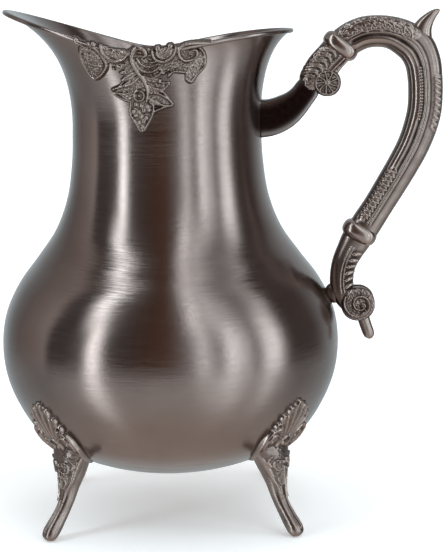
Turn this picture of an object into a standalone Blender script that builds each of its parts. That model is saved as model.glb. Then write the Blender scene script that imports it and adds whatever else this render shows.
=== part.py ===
"""A footed copper water jug: a spun body with a flared saddle mouth and a broad pouring lip, a wire bead
round the mouth, a cast ornament on each side of it, a cast scroll handle on a plain bracket, and four
cast cabriole feet with palmette plates. Units are metres, +Z is up, and the origin is the middle of the
bounding box at floor level. The handle points along +X and the lip along -X."""

import math

import bmesh
import bpy
import numpy as np
from mathutils import Vector

MM = 0.001
GAP = 0.3 * MM  # room left between two pieces that are soldered face to face

# Body: (radius, height) in millimetres of the outside, from the middle of the base to the neck.
BODY_POINTS = (
    (0, 24.5), (18, 25), (36, 28.8), (54, 36), (68, 45.6), (77.5, 59.5), (83.2, 74), (85, 88),
    (82.6, 106), (76, 120), (66, 133.5), (57, 146.5), (51, 161.5), (47.8, 181), (47, 200),
)
BELLY_HEIGHT = 88 * MM  # the seam between the two spun halves
BELLY_RADIUS = 85 * MM
NECK_RADIUS = 47 * MM
NECK_TOP = 200 * MM  # the wall is round up to here, and opens out to the mouth above it
WALL = 1.2 * MM
BODY_SEGMENTS = 40
PROFILE_STEPS = 29
FLARE_STEPS = 7
CUTTER_FLARE_STEPS = 4  # how far up the flare the trimming space reaches

# Mouth: an ellipse seen from above, set towards the lip, and higher at both ends than at the sides.
MOUTH_CENTRE_X = -8.4 * MM
MOUTH_HALF_LENGTH = 70.8 * MM
MOUTH_HALF_WIDTH = 49.3 * MM
SIDE_HEIGHT = 235.1 * MM
LIP_RISE = 20.2 * MM
BACK_RISE = 9.4 * MM
DIP_ROUNDING = 0.15
BEAD_RADIUS = 1.2 * MM
BEAD_POINTS = 60

ORNAMENT_THICKNESS = 1.8 * MM
ORNAMENT_ROWS = 8
ORNAMENT_COLUMNS = 10
ORNAMENT_TOP = 0.9  # share of the flare's height
# (share of the way from the top to the tip, half width in degrees round the neck)
ORNAMENT_WIDTHS = ((0, 33), (0.35, 32), (0.55, 17), (0.8, 9), (1, 2.5))

# Handle, in its own XZ plane: (x, z, half width in the plane, half width across it), in millimetres.
HANDLE_STATIONS = (
    (70.1, 215.6, 6.2, 6), (71.5, 218.9, 7.6, 6.4), (75.8, 224.2, 9, 6.6), (82, 231.5, 8.4, 6.2),
    (87.4, 237, 9.8, 8), (92.4, 240.6, 8, 6.4), (98.4, 243, 7.8, 6.4), (105, 243.6, 7.7, 6.4),
    (111.4, 242.8, 8, 6.5), (118, 240, 8.8, 6.6), (123.8, 235.4, 9.4, 6.6), (127, 229, 9, 6.6),
    (128.3, 221, 8.7, 6.6), (128.7, 213, 8.6, 6.6), (128.1, 204.6, 8.5, 6.6), (126, 196, 8.3, 6.6),
    (122.6, 187, 8, 6.5), (118, 178.2, 7.8, 6.4), (111.4, 167, 7.6, 6.2), (104.4, 155.6, 7.4, 6.2),
    (100.4, 149.4, 8, 7), (96.8, 143.8, 9.4, 8.2), (93.6, 138.8, 8, 7), (91.2, 134.4, 6.8, 5.6),
    (88.6, 129, 6.3, 5.4), (87.1, 122.6, 6, 5.2), (87.1, 116, 5.9, 5.2), (89.4, 110, 5.6, 5.2),
)
HANDLE_SAMPLES = 46
HANDLE_SIDES = 10
HANDLE_REACH = 137.3 * MM
THORN_STATIONS = ((123, 239, 5, 4), (126.5, 246.5, 4.4, 3.6), (130.4, 250.6, 2.8, 2.6), (135, 253, 1, 1))
TAIL_STATIONS = ((97.6, 102, 3, 3), (98.7, 97.4, 2.7, 2.7), (99.8, 93.6, 2.4, 2.4), (101.6, 89.4, 2.2, 2.2))
BRANCH_SAMPLES = 9
VOLUTE_CENTRE = (95.3 * MM, 106.2 * MM)
VOLUTE_RADIUS = 8 * MM
VOLUTE_HALF_DEPTH = 6 * MM
LUG_HEIGHT = 107 * MM
LUG_RADIUS = 4 * MM
LUG_LENGTH = 8 * MM

# Bracket outline in the handle's plane, in millimetres, from the neck round to the carved end of the handle.
BRACKET_OUTLINE = (
    (46, 210.5), (53, 210.9), (58, 211.7), (62, 213.8), (64.6, 217.4), (75.2, 212.9), (71.4, 206.1),
    (67.6, 201.6), (62.9, 198), (54.4, 194.1), (46, 191.7),
)
BRACKET_DEPTH = 12 * MM
BRACKET_EDGE = 1.2 * MM

# Feet: the leg's middle line in its own upright plane, (radius, z, half width in the plane, half width across).
LEG_STATIONS = (
    (63, 44, 8, 8), (63.4, 37, 8, 7.4), (64.2, 31, 6.2, 6), (65.4, 25.4, 4.8, 5), (67.2, 20, 4, 4.3),
    (70, 14.6, 3.8, 4.3), (73.4, 10, 4, 4.8), (76.2, 6.4, 4.2, 5.2), (78, 3, 4.8, 5.4), (78.8, 0, 4.6, 5),
)
LEG_SAMPLES = 13
LEG_SIDES = 8
TOE_CENTRE = (79.6 * MM, 3.6 * MM)
TOE_RADIUS = 3.9 * MM
# Where each foot is soldered, in degrees round Z from the handle. They are set by hand, so not quite evenly.
FOOT_ANGLES = {
    "foot_front_right": -38, "foot_front_left": -138, "foot_rear_left": 140, "foot_rear_right": 49,
}
# Palmette plate on the belly: (height in millimetres, half width in degrees round the body)
PLATE_WIDTHS = ((36, 9), (42, 13), (52, 9.5), (60, 8), (66, 6), (70, 2))
PLATE_ROWS = 8
PLATE_COLUMNS = 6
PLATE_THICKNESS = 2.8 * MM
PLATE_ROOT = 1 * MM  # how deep the plate starts inside the body before it is trimmed to it

# Finishes: colour (linear RGB), roughness.
BODY_FINISH = ((0.235, 0.165, 0.145), 0.3)
CAST_FINISH = ((0.19, 0.13, 0.115), 0.38)
BRACKET_FINISH = ((0.07, 0.045, 0.045), 0.22)


def clear_scene():
    for obj in list(bpy.data.objects):
        bpy.data.objects.remove(obj, do_unlink=True)


def make_material(name, finish):
    colour, roughness = finish
    material = bpy.data.materials.new(name)
    material.use_nodes = True
    shader = material.node_tree.nodes["Principled BSDF"]
    shader.inputs["Base Color"].default_value = (*colour, 1)
    shader.inputs["Roughness"].default_value = roughness
    shader.inputs["Metallic"].default_value = 1
    return material


def smooth_curve(points, count):
    """Count points, evenly spaced along a smooth curve through the given ones, in any number of dimensions."""
    knots = np.array(points, float)
    chords = np.linalg.norm(np.diff(knots, axis=0), axis=1)
    at = np.concatenate([[0], np.cumsum(chords)])
    slopes = np.gradient(knots, at, axis=0)
    fine = np.linspace(0, at[-1], 20 * count)
    span = np.clip(np.searchsorted(at, fine, side="right") - 1, 0, len(chords) - 1)
    width = chords[span][:, None]
    t = (fine[:, None] - at[span][:, None]) / width
    curve = (
        (2 * t**3 - 3 * t**2 + 1) * knots[span]
        + (t**3 - 2 * t**2 + t) * width * slopes[span]
        + (3 * t**2 - 2 * t**3) * knots[span + 1]
        + (t**3 - t**2) * width * slopes[span + 1]
    )
    walked = np.concatenate([[0], np.cumsum(np.linalg.norm(np.diff(curve, axis=0), axis=1))])
    even = np.linspace(0, walked[-1], count)
    return np.stack([np.interp(even, walked, curve[:, i]) for i in range(knots.shape[1])], axis=1)


def body_profile():
    """(radius, height) in metres from the middle of the base to the top of the round neck."""
    return smooth_curve(BODY_POINTS, PROFILE_STEPS) * MM


def body_radius(height):
    profile = body_profile()
    return float(np.interp(height, profile[:, 1], profile[:, 0]))


def mouth_rim(angle):
    """Radius, height and leaning share (1 at the lip, -1 at the back) of the mouth at an angle round Z."""
    cosine, sine = math.cos(angle), math.sin(angle)
    a = (cosine / MOUTH_HALF_LENGTH) ** 2 + (sine / MOUTH_HALF_WIDTH) ** 2
    b = -2 * cosine * MOUTH_CENTRE_X / MOUTH_HALF_LENGTH**2
    c = (MOUTH_CENTRE_X / MOUTH_HALF_LENGTH) ** 2 - 1
    radius = (-b + math.sqrt(b * b - 4 * a * c)) / (2 * a)
    lean = -(radius * cosine - MOUTH_CENTRE_X) / MOUTH_HALF_LENGTH
    rounded = math.hypot(lean, DIP_ROUNDING) - DIP_ROUNDING
    climb = rounded / (math.hypot(1, DIP_ROUNDING) - DIP_ROUNDING)
    rise = LIP_RISE * climb if lean > 0 else BACK_RISE * (1 - (1 - climb) ** 1.6)
    return radius, SIDE_HEIGHT + rise, lean


def flare_point(angle, share, cut=0.0):
    """A point of the outside between the neck (share 0) and the mouth (share 1), cut short by a length."""
    radius, height, lean = mouth_rim(angle)
    lip = max(lean, 0) ** 1.5
    back = max(-lean, 0) ** 1.5
    slope = math.radians(80 - 58 * lip - 47 * back)
    arm = (9 + 11 * lip) * MM
    lift = (14 + 18 * lip + 14 * back) * MM
    end = np.array([radius, height]) - cut * np.array([math.cos(slope), math.sin(slope)])
    ends = (
        np.array([NECK_RADIUS, NECK_TOP]),
        np.array([NECK_RADIUS, NECK_TOP + lift]),
        np.array([radius, height]) - arm * np.array([math.cos(slope), math.sin(slope)]),
        end,
    )
    weights = ((1 - share) ** 3, 3 * share * (1 - share) ** 2, 3 * share**2 * (1 - share), share**3)
    across, up = sum(w * p for w, p in zip(weights, ends))
    return Vector((across * math.cos(angle), across * math.sin(angle), up))


def flare_normal(angle, share):
    step = 0.01
    around = flare_point(angle + step, share) - flare_point(angle - step, share)
    upward = flare_point(angle, share + step) - flare_point(angle, share - step)
    return around.cross(upward).normalized()


def segment_angles():
    return [2 * math.pi * i / BODY_SEGMENTS for i in range(BODY_SEGMENTS)]


def ring(radius, height):
    return [Vector((radius * math.cos(a), radius * math.sin(a), height)) for a in segment_angles()]


def add_grid(mesh, rows, closed):
    """Adds rows of points as a sheet of quads, closed round if asked, and returns its vertices."""
    verts = [[mesh.verts.new(point) for point in row] for row in rows]
    for lower, upper in zip(verts, verts[1:]):
        last = len(lower) if closed else len(lower) - 1
        for i in range(last):
            j = (i + 1) % len(lower)
            mesh.faces.new((lower[i], lower[j], upper[j], upper[i]))
    return verts


def make_solid(name, mesh, material, parent):
    bmesh.ops.recalc_face_normals(mesh, faces=mesh.faces)
    return make_object(name, mesh, material, parent)


def make_object(name, mesh, material, parent):
    data = bpy.data.meshes.new(name)
    mesh.to_mesh(data)
    mesh.free()
    data.shade_smooth()
    data.materials.append(material)
    return link_object(name, data, parent)


def link_object(name, data, parent):
    obj = bpy.data.objects.new(name, data)
    obj.parent = parent
    bpy.context.scene.collection.objects.link(obj)
    return obj


def hide_helper(obj):
    obj.hide_render = True
    obj.display_type = "WIRE"


def add_boolean(obj, helper, operation):
    modifier = obj.modifiers.new(operation.title(), "BOOLEAN")
    modifier.operation = operation
    modifier.object = helper
    hide_helper(helper)


def thicken(obj):
    """Gives a sheet the spun wall's thickness, inwards from its outside."""
    solidify = obj.modifiers.new("Wall", "SOLIDIFY")
    solidify.thickness = WALL
    solidify.offset = -1
    solidify.use_even_offset = True


def make_lower_bowl(material, parent):
    mesh = bmesh.new()
    profile = [p for p in body_profile()[1:] if p[1] < BELLY_HEIGHT - GAP]
    rows = [ring(radius, height) for radius, height in profile]
    rows.append(ring(body_radius(BELLY_HEIGHT), BELLY_HEIGHT - GAP / 2))
    verts = add_grid(mesh, rows, closed=True)
    mesh.faces.new(list(reversed(verts[0])))
    bowl = make_object("body_lower_bowl", mesh, material, parent)
    thicken(bowl)
    return bowl


def make_upper_shell(material, parent):
    mesh = bmesh.new()
    rows = [ring(body_radius(BELLY_HEIGHT), BELLY_HEIGHT + GAP / 2)]
    rows += [ring(radius, height) for radius, height in body_profile() if height > BELLY_HEIGHT + GAP]
    cut = BEAD_RADIUS + GAP
    for step in range(1, FLARE_STEPS + 1):
        share = step / FLARE_STEPS
        rows.append([flare_point(angle, share, cut) for angle in segment_angles()])
    add_grid(mesh, rows, closed=True)
    shell = make_object("body_upper_shell", mesh, material, parent)
    thicken(shell)
    return shell


def make_body_cutter(parent):
    """The space that the lower body takes, with the gap, to trim what is soldered onto it."""
    mesh = bmesh.new()
    rows = []
    profile = body_profile()
    tangents = np.gradient(profile, axis=0)
    for (radius, height), (across, up) in zip(profile[1:], tangents[1:]):
        length = math.hypot(across, up)
        rows.append(ring(radius + GAP * up / length, height - GAP * across / length))
    for step in range(1, CUTTER_FLARE_STEPS + 1):
        share = step / FLARE_STEPS
        points = [(angle, flare_point(angle, share, BEAD_RADIUS + GAP)) for angle in segment_angles()]
        rows.append([point + flare_normal(angle, share) * GAP for angle, point in points])
    verts = add_grid(mesh, rows, closed=True)
    mesh.faces.new(list(reversed(verts[0])))
    mesh.faces.new(verts[-1])
    cutter = make_solid("body_cutter", mesh, make_material("cutter", CAST_FINISH), parent)
    hide_helper(cutter)
    return cutter


def make_rim_bead(material, parent):
    curve = bpy.data.curves.new("mouth_rim_bead", "CURVE")
    curve.dimensions = "3D"
    curve.bevel_depth = BEAD_RADIUS
    curve.bevel_resolution = 1
    spline = curve.splines.new("POLY")
    spline.points.add(BEAD_POINTS - 1)
    spline.use_cyclic_u = True
    for i, point in enumerate(spline.points):
        centre = flare_point(2 * math.pi * i / BEAD_POINTS, 1)
        point.co = (*centre, 1)
    curve.materials.append(material)
    return link_object("mouth_rim_bead", curve, parent)


def make_ornament(name, side, material, parent):
    """A pendant cast plate on the flare, side -1 at the front and 1 at the rear, widest under the mouth."""
    middle = math.atan2(side * MOUTH_HALF_WIDTH, MOUTH_CENTRE_X)
    places, widths = zip(*ORNAMENT_WIDTHS)
    inner, outer = [], []
    for row in range(ORNAMENT_ROWS + 1):
        down = row / ORNAMENT_ROWS
        share = ORNAMENT_TOP * (1 - down)
        half = math.radians(np.interp(down, places, widths))
        angles = [middle + half * (2 * i / ORNAMENT_COLUMNS - 1) for i in range(ORNAMENT_COLUMNS + 1)]
        back = [flare_point(a, share) + flare_normal(a, share) * GAP for a in angles]
        face = [flare_point(a, share) + flare_normal(a, share) * (GAP + ORNAMENT_THICKNESS) for a in angles]
        inner.append(back)
        outer.append(face)
    mesh = bmesh.new()
    loops = [face + back[::-1] for face, back in zip(outer, inner)]
    verts = add_grid(mesh, loops, closed=True)
    cap_strip(mesh, verts[0])
    cap_strip(mesh, verts[-1])
    return make_solid(name, mesh, material, parent)


def cap_strip(mesh, loop):
    """Fills the flat end of a slab whose loop runs out along one side and back along the other."""
    count = len(loop) // 2
    for i in range(count - 1):
        mesh.faces.new((loop[i], loop[i + 1], loop[-i - 2], loop[-i - 1]))


def swept_mesh(stations, samples, sides, angle=0.0):
    """A closed solid along stations of an upright plane turned by an angle round Z."""
    curve = smooth_curve(stations, samples) * MM
    tangents = np.gradient(curve[:, :2], axis=0)
    outward = Vector((math.cos(angle), math.sin(angle), 0))
    across = Vector((-math.sin(angle), math.cos(angle), 0))
    rows = []
    for (reach, height, half_in, half_across), (along, up) in zip(curve, tangents):
        length = math.hypot(along, up)
        centre = outward * reach + Vector((0, 0, height))
        normal = outward * (up / length) + Vector((0, 0, -along / length))
        turns = [2 * math.pi * i / sides for i in range(sides)]
        rows.append(
            [centre + normal * half_in * math.cos(t) + across * half_across * math.sin(t) for t in turns]
        )
    mesh = bmesh.new()
    verts = add_grid(mesh, rows, closed=True)
    mesh.faces.new(verts[0])
    mesh.faces.new(verts[-1])
    return mesh


def make_disc(name, centre, radius, half_depth, material, parent):
    mesh = bmesh.new()
    bmesh.ops.create_cone(
        mesh, cap_ends=True, segments=20, radius1=radius, radius2=radius, depth=2 * half_depth
    )
    disc = make_solid(name, mesh, material, parent)
    disc.location = centre
    return disc


def make_bracket(material, parent, body_cutter):
    """The plain strap between the neck and the carved end of the handle."""
    mesh = bmesh.new()
    outline = [Vector((x * MM, -BRACKET_DEPTH / 2, z * MM)) for x, z in BRACKET_OUTLINE]
    face = mesh.faces.new([mesh.verts.new(point) for point in outline])
    made = bmesh.ops.extrude_face_region(mesh, geom=[face])
    moved = [item for item in made["geom"] if isinstance(item, bmesh.types.BMVert)]
    bmesh.ops.translate(mesh, verts=moved, vec=(0, BRACKET_DEPTH, 0))
    long_edges = [e for e in mesh.edges if abs(e.verts[0].co.y - e.verts[1].co.y) < GAP]
    bmesh.ops.bevel(
        mesh, geom=long_edges, offset=BRACKET_EDGE, segments=1, affect="EDGES", clamp_overlap=True
    )
    bracket = make_solid("handle_bracket", mesh, material, parent)
    add_boolean(bracket, body_cutter, "DIFFERENCE")
    return bracket


def make_handle(material, parent, body_cutter):
    """The cast scroll handle: carved end, two collars, thorn, grip, lower arm, volute and tail."""
    handle = make_solid(
        "handle_scroll", swept_mesh(HANDLE_STATIONS, HANDLE_SAMPLES, HANDLE_SIDES), material, parent
    )
    thorn = make_solid("thorn", swept_mesh(THORN_STATIONS, BRANCH_SAMPLES, 8), material, parent)
    tail = make_solid("tail", swept_mesh(TAIL_STATIONS, BRANCH_SAMPLES, 8), material, parent)
    x, z = VOLUTE_CENTRE
    volute = make_disc("volute", (x, 0, z), VOLUTE_RADIUS, VOLUTE_HALF_DEPTH, material, parent)
    volute.rotation_euler = (math.pi / 2, 0, 0)
    lug_x = body_radius(LUG_HEIGHT) + LUG_LENGTH / 2
    lug = make_disc("lug", (lug_x, 0, LUG_HEIGHT), LUG_RADIUS, LUG_LENGTH, material, parent)
    lug.rotation_euler = (0, math.pi / 2, 0)
    for helper in (thorn, tail, volute, lug):
        add_boolean(handle, helper, "UNION")
    add_boolean(handle, body_cutter, "DIFFERENCE")
    return handle


def plate_mesh():
    """The palmette plate round the angle 0, from inside the body's skin to its own thickness outside it."""
    heights, widths = zip(*PLATE_WIDTHS)
    rows = []
    for row in range(PLATE_ROWS + 1):
        height = heights[0] + (heights[-1] - heights[0]) * row / PLATE_ROWS
        half = math.radians(np.interp(height, heights, widths))
        radius = body_radius(height * MM)
        slope = (body_radius((height + 1) * MM) - body_radius((height - 1) * MM)) / (2 * MM)
        out = Vector((1, 0, -slope)).normalized()
        turns = [half * (2 * i / PLATE_COLUMNS - 1) for i in range(PLATE_COLUMNS + 1)]
        loop = []
        for shift, order in ((PLATE_THICKNESS, turns), (-PLATE_ROOT, turns[::-1])):
            for turn in order:
                reach = radius + out.x * shift
                loop.append(
                    Vector((reach * math.cos(turn), reach * math.sin(turn), height * MM + out.z * shift))
                )
        rows.append(loop)
    mesh = bmesh.new()
    verts = add_grid(mesh, rows, closed=True)
    cap_strip(mesh, verts[0])
    cap_strip(mesh, verts[-1])
    return mesh


def make_foot_data(material, parent):
    """One foot at the angle 0, as a mesh that the four feet share."""
    pattern = make_solid("foot_pattern", swept_mesh(LEG_STATIONS, LEG_SAMPLES, LEG_SIDES), material, parent)
    plate = make_solid("plate_pattern", plate_mesh(), material, parent)
    toe_mesh = bmesh.new()
    bmesh.ops.create_uvsphere(toe_mesh, u_segments=8, v_segments=6, radius=TOE_RADIUS)
    toe = make_solid("toe_pattern", toe_mesh, material, parent)
    toe.location = (TOE_CENTRE[0], 0, TOE_CENTRE[1])
    body_cutter = make_body_cutter(parent)
    floor = make_disc("floor_cutter", (TOE_CENTRE[0], 0, -20 * MM), 40 * MM, 20 * MM, material, parent)
    add_boolean(pattern, plate, "UNION")
    add_boolean(pattern, toe, "UNION")
    add_boolean(pattern, body_cutter, "DIFFERENCE")
    add_boolean(pattern, floor, "DIFFERENCE")
    bpy.context.view_layer.update()
    graph = bpy.context.evaluated_depsgraph_get()
    data = bpy.data.meshes.new_from_object(pattern.evaluated_get(graph))
    data.name = "foot"
    for helper in (pattern, plate, toe, body_cutter, floor):
        bpy.data.objects.remove(helper, do_unlink=True)
    return data


def make_feet(material, parent):
    data = make_foot_data(material, parent)
    for name, degrees in FOOT_ANGLES.items():
        foot = link_object(name, data, parent)
        foot.rotation_euler = (0, 0, math.radians(degrees))


def main():
    clear_scene()
    jug = bpy.data.objects.new("jug_axis", None)
    jug.location = ((BELLY_RADIUS - HANDLE_REACH) / 2, 0, 0)
    bpy.context.scene.collection.objects.link(jug)
    spun_copper = make_material("spun_copper", BODY_FINISH)
    cast_copper = make_material("cast_copper", CAST_FINISH)
    dark_copper = make_material("dark_copper", BRACKET_FINISH)
    make_lower_bowl(spun_copper, jug)
    make_upper_shell(spun_copper, jug)
    make_rim_bead(spun_copper, jug)
    make_ornament("ornament_front", -1, cast_copper, jug)
    make_ornament("ornament_rear", 1, cast_copper, jug)
    body_cutter = make_body_cutter(jug)
    make_bracket(dark_copper, jug, body_cutter)
    make_handle(cast_copper, jug, body_cutter)
    make_feet(cast_copper, jug)


main()
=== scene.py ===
"""The looks of the copper water jug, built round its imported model: the spun body, the wire bead, the cast
ornaments, the scroll handle and the feet, in brushed antique copper on a plain pale floor.

Shapes are worked out in millimetres round the body's axis, with z from the floor, and moved to the frame at
the end. The handle points along +x and the pouring lip along -x."""

import math

import bmesh
import bpy
import numpy as np
from mathutils import Matrix, Vector


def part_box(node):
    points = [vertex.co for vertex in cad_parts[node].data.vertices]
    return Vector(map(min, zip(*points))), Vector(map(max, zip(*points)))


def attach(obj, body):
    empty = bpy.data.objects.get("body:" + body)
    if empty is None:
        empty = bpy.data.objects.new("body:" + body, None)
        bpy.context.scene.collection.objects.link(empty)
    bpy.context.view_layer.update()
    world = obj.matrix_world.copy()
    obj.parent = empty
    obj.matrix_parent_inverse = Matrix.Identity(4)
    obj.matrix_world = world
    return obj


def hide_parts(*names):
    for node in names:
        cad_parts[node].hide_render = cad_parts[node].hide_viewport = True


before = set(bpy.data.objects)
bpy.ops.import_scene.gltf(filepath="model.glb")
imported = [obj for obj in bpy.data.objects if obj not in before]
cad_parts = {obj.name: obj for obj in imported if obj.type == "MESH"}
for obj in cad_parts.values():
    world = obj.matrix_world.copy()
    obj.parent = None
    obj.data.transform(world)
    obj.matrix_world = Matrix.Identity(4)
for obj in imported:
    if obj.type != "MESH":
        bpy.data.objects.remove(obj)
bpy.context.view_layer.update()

MM = 0.001
BOWL_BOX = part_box("body_lower_bowl")
AXIS = np.array([(BOWL_BOX[0].x + BOWL_BOX[1].x) / 2, 0, 0])

# Body: (radius, height) of the outside, and the mouth, an ellipse that rises towards both its ends.
BODY_POINTS = (
    (0, 24.5), (18, 25), (36, 28.8), (54, 36), (68, 45.6), (77.5, 59.5), (83.2, 74), (85, 88),
    (82.6, 106), (76, 120), (66, 133.5), (57, 146.5), (51, 161.5), (47.8, 181), (47, 200),
)
BELLY_HEIGHT = 88
NECK_RADIUS = 47
NECK_TOP = 200
WALL = 1.2
MOUTH_CENTRE_X = -8.4
MOUTH_HALF_LENGTH = 70.8
MOUTH_HALF_WIDTH = 49.3
SIDE_HEIGHT = 235.1
LIP_RISE = 20.2
BACK_RISE = 9.4
DIP_ROUNDING = 0.15
BEAD_RADIUS = 1.2
BEAD_SHARE = 0.93  # of that radius, so that the bead stays inside the CAD box
BODY_COLUMNS = 288


# -------- curves and surfaces

def smooth_curve(points, count):
    """Count points, evenly spaced along a smooth curve through the given ones."""
    knots = np.array(points, float)
    chords = np.linalg.norm(np.diff(knots, axis=0), axis=1)
    at = np.concatenate([[0], np.cumsum(chords)])
    slopes = np.gradient(knots, at, axis=0)
    fine = np.linspace(0, at[-1], 20 * count)
    span = np.clip(np.searchsorted(at, fine, side="right") - 1, 0, len(chords) - 1)
    width = chords[span][:, None]
    t = (fine[:, None] - at[span][:, None]) / width
    curve = (
        (2 * t**3 - 3 * t**2 + 1) * knots[span]
        + (t**3 - 2 * t**2 + t) * width * slopes[span]
        + (3 * t**2 - 2 * t**3) * knots[span + 1]
        + (t**3 - t**2) * width * slopes[span + 1]
    )
    walked = np.concatenate([[0], np.cumsum(np.linalg.norm(np.diff(curve, axis=0), axis=1))])
    even = np.linspace(0, walked[-1], count)
    return np.stack([np.interp(even, walked, curve[:, i]) for i in range(knots.shape[1])], axis=1)


PROFILE = smooth_curve(BODY_POINTS, 220)


def body_radius(height):
    return np.interp(height, PROFILE[:, 1], PROFILE[:, 0])


def mouth_rim(angle):
    """Radius, height, leaning share (1 at the lip, -1 at the back) and wall slope of the mouth."""
    cosine, sine = np.cos(angle), np.sin(angle)
    a = (cosine / MOUTH_HALF_LENGTH) ** 2 + (sine / MOUTH_HALF_WIDTH) ** 2
    b = -2 * cosine * MOUTH_CENTRE_X / MOUTH_HALF_LENGTH**2
    c = (MOUTH_CENTRE_X / MOUTH_HALF_LENGTH) ** 2 - 1
    radius = (-b + np.sqrt(b * b - 4 * a * c)) / (2 * a)
    lean = -(radius * cosine - MOUTH_CENTRE_X) / MOUTH_HALF_LENGTH
    rounded = np.hypot(lean, DIP_ROUNDING) - DIP_ROUNDING
    climb = np.clip(rounded / (math.hypot(1, DIP_ROUNDING) - DIP_ROUNDING), 0, 1)
    rise = np.where(lean > 0, LIP_RISE * climb, BACK_RISE * (1 - (1 - climb) ** 1.6))
    slope = np.radians(80 - 58 * np.maximum(lean, 0) ** 1.5 - 47 * np.maximum(-lean, 0) ** 1.5)
    return radius, SIDE_HEIGHT + rise, lean, slope


def polar(radius, angle, height):
    """Points by radius and angle round the body's axis, and by height."""
    return np.stack([radius * np.cos(angle), radius * np.sin(angle), height], axis=-1)


def flare_points(angle, share, cut=0.0):
    """Points of the outside between the neck (share 0) and the mouth (share 1), cut short by a length."""
    radius, height, lean, slope = mouth_rim(angle)
    lip = np.maximum(lean, 0) ** 1.5
    back = np.maximum(-lean, 0) ** 1.5
    arm = 9 + 11 * lip
    lift = 14 + 18 * lip + 14 * back
    weights = ((1 - share) ** 3, 3 * share * (1 - share) ** 2, 3 * share**2 * (1 - share), share**3)
    across = (
        (weights[0] + weights[1]) * NECK_RADIUS
        + weights[2] * (radius - arm * np.cos(slope))
        + weights[3] * (radius - cut * np.cos(slope))
    )
    up = (
        weights[0] * NECK_TOP
        + weights[1] * (NECK_TOP + lift)
        + weights[2] * (height - arm * np.sin(slope))
        + weights[3] * (height - cut * np.sin(slope))
    )
    return polar(across, angle, up)


def full_turn(count):
    return np.linspace(0, 2 * math.pi, count, endpoint=False)


def squarish(turn, power):
    """Cosine and sine of a turn on a rounded square. At power 2 it is a circle."""
    cosine, sine = np.cos(turn), np.sin(turn)
    reach = (np.abs(cosine) ** power + np.abs(sine) ** power) ** (-1 / power)
    return reach * cosine, reach * sine


def pole_to_pole(count):
    """Places from -1 to 1 along a domed body's axis, closer together near its ends."""
    return np.sin(np.linspace(-math.pi / 2 + 0.02, math.pi / 2 - 0.02, count))


def unit(vectors):
    return vectors / np.maximum(np.linalg.norm(vectors, axis=-1, keepdims=True), 1e-9)


def surface_normals(rings):
    """Unit normals of a tube's points, on the side from which columns run left and rows run up."""
    around = np.roll(rings, -1, 1) - np.roll(rings, 1, 1)
    return unit(np.cross(around, np.gradient(rings, axis=0)))


# -------- meshes

def grid_faces(rows, columns, wrap_rows=False, wrap_columns=False):
    i, j = np.meshgrid(
        np.arange(rows if wrap_rows else rows - 1),
        np.arange(columns if wrap_columns else columns - 1),
        indexing="ij",
    )
    below, above = i * columns, (i + 1) % rows * columns
    right = (j + 1) % columns
    return np.stack([below + j, below + right, above + right, above + j], axis=-1).reshape(-1, 4)


def new_object(name, data):
    made = bpy.data.objects.new(name, data)
    bpy.context.scene.collection.objects.link(made)
    return made


class Solid:
    """Closed shells gathered into one mesh. Each point has a relief value, from 0 (recess) to 1 (ridge)."""

    def __init__(self):
        self.points, self.faces, self.relief, self.count = [], [], [], 0

    def add(self, points, faces, relief=0.6):
        points = np.asarray(points, float).reshape(-1, 3)
        self.points.append(points)
        self.faces += [[int(v) + self.count for v in face] for face in faces]
        self.relief.append(np.broadcast_to(relief, (len(points),)).astype(float))
        self.count += len(points)

    def add_tube(self, rings, relief=0.6):
        """Rings of points, each joined to the next, closed by a flat cap at both ends."""
        rows, columns = rings.shape[:2]
        faces = grid_faces(rows, columns, wrap_columns=True).tolist()
        faces.append(list(range(columns))[::-1])
        faces.append(list(range((rows - 1) * columns, rows * columns)))
        self.add(rings, faces, np.asarray(relief).reshape(-1) if np.ndim(relief) else relief)

    def make(self, name, material, nodes, mirrored=False, sharp=None):
        points = np.concatenate(self.points)
        if mirrored:
            points = points * (1, -1, 1)
        mesh = bpy.data.meshes.new(name)
        mesh.from_pydata((points * MM + AXIS).tolist(), [], self.faces)
        facing = bmesh.new()
        facing.from_mesh(mesh)
        bmesh.ops.recalc_face_normals(facing, faces=facing.faces)
        facing.to_mesh(mesh)
        facing.free()
        mesh.shade_smooth()
        if sharp:
            mesh.set_sharp_from_angle(angle=math.radians(sharp))
        attribute = mesh.attributes.new("relief", "FLOAT", "POINT")
        attribute.data.foreach_set("value", np.concatenate(self.relief))
        mesh.materials.append(material)
        piece = new_object(name, mesh)
        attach(piece, "root")
        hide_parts(*nodes)
        return piece


def sweep(stations, rows, columns, power=2.0):
    """Rings along stations (x, z, half width in the plane, half width across) of the plane y = 0.
    The first point of a ring is on the outer side of the bend when the stations run clockwise."""
    curve = smooth_curve(stations, rows)
    tangents = unit(np.gradient(curve[:, :2], axis=0))
    turn = full_turn(columns)
    cosine, sine = squarish(turn, power)
    centres = np.stack([curve[:, 0], np.zeros(rows), curve[:, 1]], axis=1)[:, None]
    normals = np.stack([tangents[:, 1], np.zeros(rows), -tangents[:, 0]], axis=1)[:, None]
    within = (curve[:, 2:3] * cosine)[..., None]
    across = (curve[:, 3:4] * sine)[..., None]
    return centres - normals * within + np.array([0, 1, 0]) * across, turn


# -------- relief

def hump(x, middle, half, power=2):
    """A smooth hump of height 1. A higher power gives it a flatter top."""
    return np.exp(-(((x - middle) / half) ** power))


# Profiles of a stroke by q, from 0 on its middle line to 1 at its edge.
def rounded(q):
    return np.sqrt(1 - q * q)


def leafy(q):
    return np.sqrt(1 - q * q) * (1 - 0.5 * hump(q, 0, 0.25))


def dished(q):
    return (0.22 + 0.78 * hump(q, 0.76, 0.16)) * np.sqrt(1 - q**8)


def flat(q):
    return np.sqrt(1 - q**6)


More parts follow.
